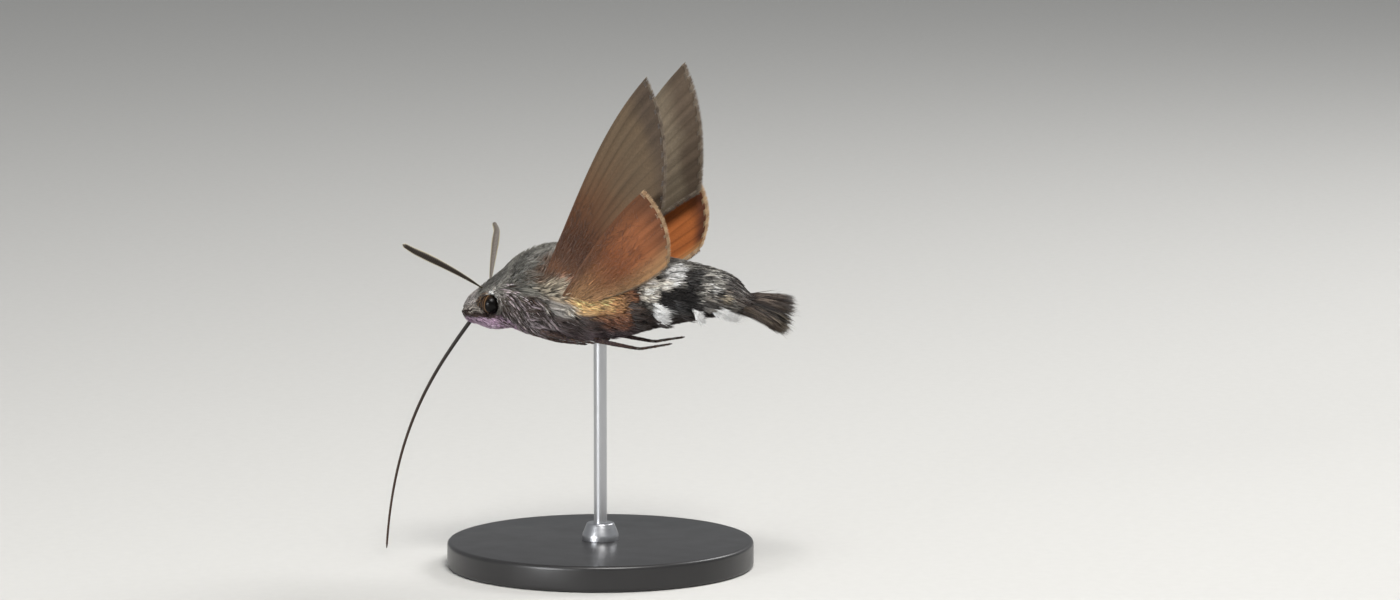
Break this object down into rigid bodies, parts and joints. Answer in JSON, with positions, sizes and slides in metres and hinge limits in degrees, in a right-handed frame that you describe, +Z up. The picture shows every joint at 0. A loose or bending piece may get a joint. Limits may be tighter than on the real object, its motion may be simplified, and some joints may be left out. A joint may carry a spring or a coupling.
{
  "type": "hummingbird hawk moth",
  "caption": "Life-size still model of a hovering day-flying hawk moth, wings raised and proboscis extended, held by one rod on a round display base.",
  "frame": {"origin": "centre of the stand base's underside, on the surface that it stands on", "axes": "+Z up, the head towards -Y, the animal's left side towards +X"},
  "size_m": [0.028, 0.0396, 0.0458],
  "materials": {
    "coat_grey": "short grey-brown scale fur with a soft sheen",
    "coat_chequered": "grey-brown scale fur with black and white side patches",
    "coat_dark": "long dark brown scales",
    "coat_pale": "pale dense scale fur",
    "eye": "glossy dark brown with fine facets",
    "horn": "dark brown horn, finely ringed",
    "wing_brown": "scaled membrane, grey-brown above and rust below",
    "wing_orange": "scaled membrane, orange with a dark border",
    "leg": "scaled brown legs",
    "stand_black": "satin black acrylic",
    "stand_steel": "fine brushed steel"
  },
  "bodies": {
    "root": {"head": "coat_grey", "thorax": "coat_grey", "abdomen": "coat_chequered", "tail_fan": "coat_dark", "palp_left": "coat_pale", "palp_right": "coat_pale", "eye_left": "eye", "eye_right": "eye", "proboscis": "horn", "antenna_left": "horn", "antenna_right": "horn", "forewing_left": "wing_brown", "forewing_right": "wing_brown", "hindwing_left": "wing_orange", "hindwing_right": "wing_orange", "foreleg_left": "leg", "foreleg_right": "leg", "midleg_left": "leg", "midleg_right": "leg", "hindleg_left": "leg", "hindleg_right": "leg", "stand_base": "stand_black", "stand_collar": "stand_steel", "stand_rod": "stand_steel"}
  },
  "joints": []
}
